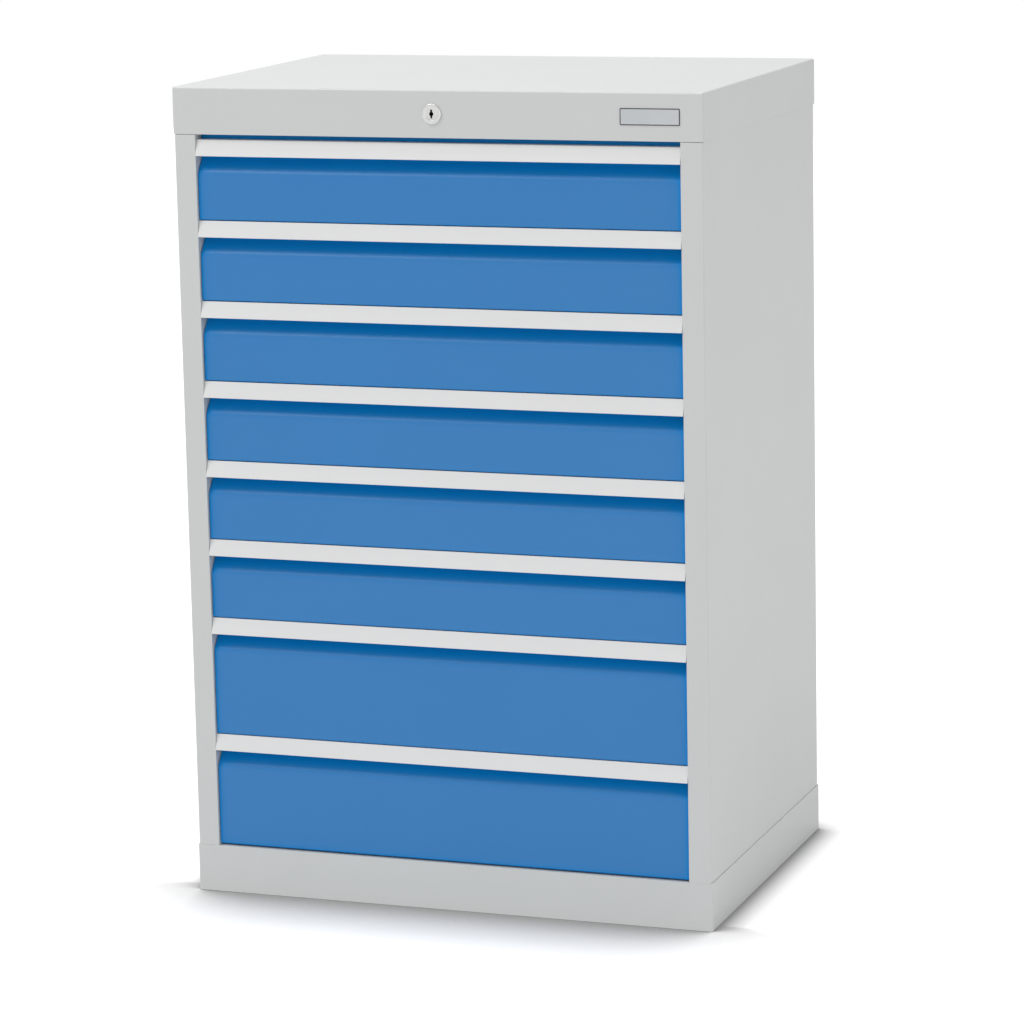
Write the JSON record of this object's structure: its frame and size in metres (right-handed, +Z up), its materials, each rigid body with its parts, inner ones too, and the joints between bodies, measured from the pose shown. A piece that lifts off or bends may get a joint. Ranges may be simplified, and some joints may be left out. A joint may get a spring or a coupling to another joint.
{
  "type": "drawer cabinet",
  "caption": "Free-standing steel cabinet with full-extension drawers behind sloping grip strips, and one key that locks them all.",
  "frame": {"origin": "on the floor under the middle of the cabinet's outer box", "axes": "+Z up, the drawer fronts face -Y, +X to the right seen from the front"},
  "size_m": [0.68, 0.49, 1.019],
  "materials": {
    "body_powder_coat": "light grey fine-textured powder coat on steel sheet",
    "front_powder_coat": "blue powder coat on steel sheet",
    "handle_finish": "near-white coated aluminium extrusion",
    "tray_powder_coat": "light grey powder coat on steel sheet",
    "zinc_plated_steel": "bright zinc-plated steel",
    "lock_metal": "satin nickel-plated zinc casting",
    "plate_metal": "satin aluminium, blank"
  },
  "bodies": {
    "cabinet": {"top_cover": "body_powder_coat", "front_rail_stiffener": "body_powder_coat", "cover_tongues": "body_powder_coat", "base_plinth": "body_powder_coat", "right_side_panel": "body_powder_coat", "left_side_panel": "body_powder_coat", "rear_panel": "body_powder_coat", "rear_screws": "zinc_plated_steel", "name_plate": "plate_metal", "runner_uprights": "zinc_plated_steel", "cabinet_runners": "zinc_plated_steel", "lock_housing": "lock_metal", "lock_nut": "zinc_plated_steel", "lock_guides": "zinc_plated_steel", "shaft_bearing": "zinc_plated_steel"},
    "lock_cylinder": {"lock_plug": "lock_metal", "lock_shaft": "zinc_plated_steel"},
    "locking_bar": {"lock_bar": "zinc_plated_steel"},
    "drawer_1": {"drawer_1_front": "front_powder_coat", "drawer_1_handle": "handle_finish", "drawer_1_tray": "tray_powder_coat", "drawer_1_rails_and_catch": "zinc_plated_steel"},
    "drawer_1_telescope": {"drawer_1_middle_rails": "zinc_plated_steel"},
    "drawer_2": {"drawer_2_front": "front_powder_coat", "drawer_2_handle": "handle_finish", "drawer_2_tray": "tray_powder_coat", "drawer_2_rails_and_catch": "zinc_plated_steel"},
    "drawer_2_telescope": {"drawer_2_middle_rails": "zinc_plated_steel"},
    "drawer_3": {"drawer_3_front": "front_powder_coat", "drawer_3_handle": "handle_finish", "drawer_3_tray": "tray_powder_coat", "drawer_3_rails_and_catch": "zinc_plated_steel"},
    "drawer_3_telescope": {"drawer_3_middle_rails": "zinc_plated_steel"},
    "drawer_4": {"drawer_4_front": "front_powder_coat", "drawer_4_handle": "handle_finish", "drawer_4_tray": "tray_powder_coat", "drawer_4_rails_and_catch": "zinc_plated_steel"},
    "drawer_4_telescope": {"drawer_4_middle_rails": "zinc_plated_steel"},
    "drawer_5": {"drawer_5_front": "front_powder_coat", "drawer_5_handle": "handle_finish", "drawer_5_tray": "tray_powder_coat", "drawer_5_rails_and_catch": "zinc_plated_steel"},
    "drawer_5_telescope": {"drawer_5_middle_rails": "zinc_plated_steel"},
    "drawer_6": {"drawer_6_front": "front_powder_coat", "drawer_6_handle": "handle_finish", "drawer_6_tray": "tray_powder_coat", "drawer_6_rails_and_catch": "zinc_plated_steel"},
    "drawer_6_telescope": {"drawer_6_middle_rails": "zinc_plated_steel"},
    "drawer_7": {"drawer_7_front": "front_powder_coat", "drawer_7_handle": "handle_finish", "drawer_7_tray": "tray_powder_coat", "drawer_7_rails_and_catch": "zinc_plated_steel"},
    "drawer_7_telescope": {"drawer_7_middle_rails": "zinc_plated_steel"},
    "drawer_8": {"drawer_8_front": "front_powder_coat", "drawer_8_handle": "handle_finish", "drawer_8_tray": "tray_powder_coat", "drawer_8_rails_and_catch": "zinc_plated_steel"},
    "drawer_8_telescope": {"drawer_8_middle_rails": "zinc_plated_steel"}
  },
  "joints": [
    {"name": "key_turn", "type": "hinge", "parent": "cabinet", "child": "lock_cylinder", "pos_m": [0, -0.243, 0.99], "axis": [0, 1, 0], "range_deg": [0, 90]},
    {"name": "locking_bar_slide", "type": "slide", "parent": "cabinet", "child": "locking_bar", "axis": [0, 0, -1], "range_m": [0, 0.01257]},
    {"name": "drawer_1_slide", "type": "slide", "parent": "cabinet", "child": "drawer_1", "axis": [0, -1, 0], "range_m": [0, 0.4]},
    {"name": "drawer_1_telescope_slide", "type": "slide", "parent": "cabinet", "child": "drawer_1_telescope", "axis": [0, -1, 0], "range_m": [0, 0.2]},
    {"name": "drawer_2_slide", "type": "slide", "parent": "cabinet", "child": "drawer_2", "axis": [0, -1, 0], "range_m": [0, 0.4]},
    {"name": "drawer_2_telescope_slide", "type": "slide", "parent": "cabinet", "child": "drawer_2_telescope", "axis": [0, -1, 0], "range_m": [0, 0.2]},
    {"name": "drawer_3_slide", "type": "slide", "parent": "cabinet", "child": "drawer_3", "axis": [0, -1, 0], "range_m": [0, 0.4]},
    {"name": "drawer_3_telescope_slide", "type": "slide", "parent": "cabinet", "child": "drawer_3_telescope", "axis": [0, -1, 0], "range_m": [0, 0.2]},
    {"name": "drawer_4_slide", "type": "slide", "parent": "cabinet", "child": "drawer_4", "axis": [0, -1, 0], "range_m": [0, 0.4]},
    {"name": "drawer_4_telescope_slide", "type": "slide", "parent": "cabinet", "child": "drawer_4_telescope", "axis": [0, -1, 0], "range_m": [0, 0.2]},
    {"name": "drawer_5_slide", "type": "slide", "parent": "cabinet", "child": "drawer_5", "axis": [0, -1, 0], "range_m": [0, 0.4]},
    {"name": "drawer_5_telescope_slide", "type": "slide", "parent": "cabinet", "child": "drawer_5_telescope", "axis": [0, -1, 0], "range_m": [0, 0.2]},
    {"name": "drawer_6_slide", "type": "slide", "parent": "cabinet", "child": "drawer_6", "axis": [0, -1, 0], "range_m": [0, 0.4]},
    {"name": "drawer_6_telescope_slide", "type": "slide", "parent": "cabinet", "child": "drawer_6_telescope", "axis": [0, -1, 0], "range_m": [0, 0.2]},
    {"name": "drawer_7_slide", "type": "slide", "parent": "cabinet", "child": "drawer_7", "axis": [0, -1, 0], "range_m": [0, 0.4]},
    {"name": "drawer_7_telescope_slide", "type": "slide", "parent": "cabinet", "child": "drawer_7_telescope", "axis": [0, -1, 0], "range_m": [0, 0.2]},
    {"name": "drawer_8_slide", "type": "slide", "parent": "cabinet", "child": "drawer_8", "axis": [0, -1, 0], "range_m": [0, 0.4]},
    {"name": "drawer_8_telescope_slide", "type": "slide", "parent": "cabinet", "child": "drawer_8_telescope", "axis": [0, -1, 0], "range_m": [0, 0.2]}
  ],
  "couplings": [
    {"joint": "key_turn", "follows": "locking_bar_slide", "rad_per_m": 125},
    {"joint": "drawer_1_telescope_slide", "follows": "drawer_1_slide", "ratio": 0.5},
    {"joint": "drawer_2_telescope_slide", "follows": "drawer_2_slide", "ratio": 0.5},
    {"joint": "drawer_3_telescope_slide", "follows": "drawer_3_slide", "ratio": 0.5},
    {"joint": "drawer_4_telescope_slide", "follows": "drawer_4_slide", "ratio": 0.5},
    {"joint": "drawer_5_telescope_slide", "follows": "drawer_5_slide", "ratio": 0.5},
    {"joint": "drawer_6_telescope_slide", "follows": "drawer_6_slide", "ratio": 0.5},
    {"joint": "drawer_7_telescope_slide", "follows": "drawer_7_slide", "ratio": 0.5},
    {"joint": "drawer_8_telescope_slide", "follows": "drawer_8_slide", "ratio": 0.5}
  ]
}
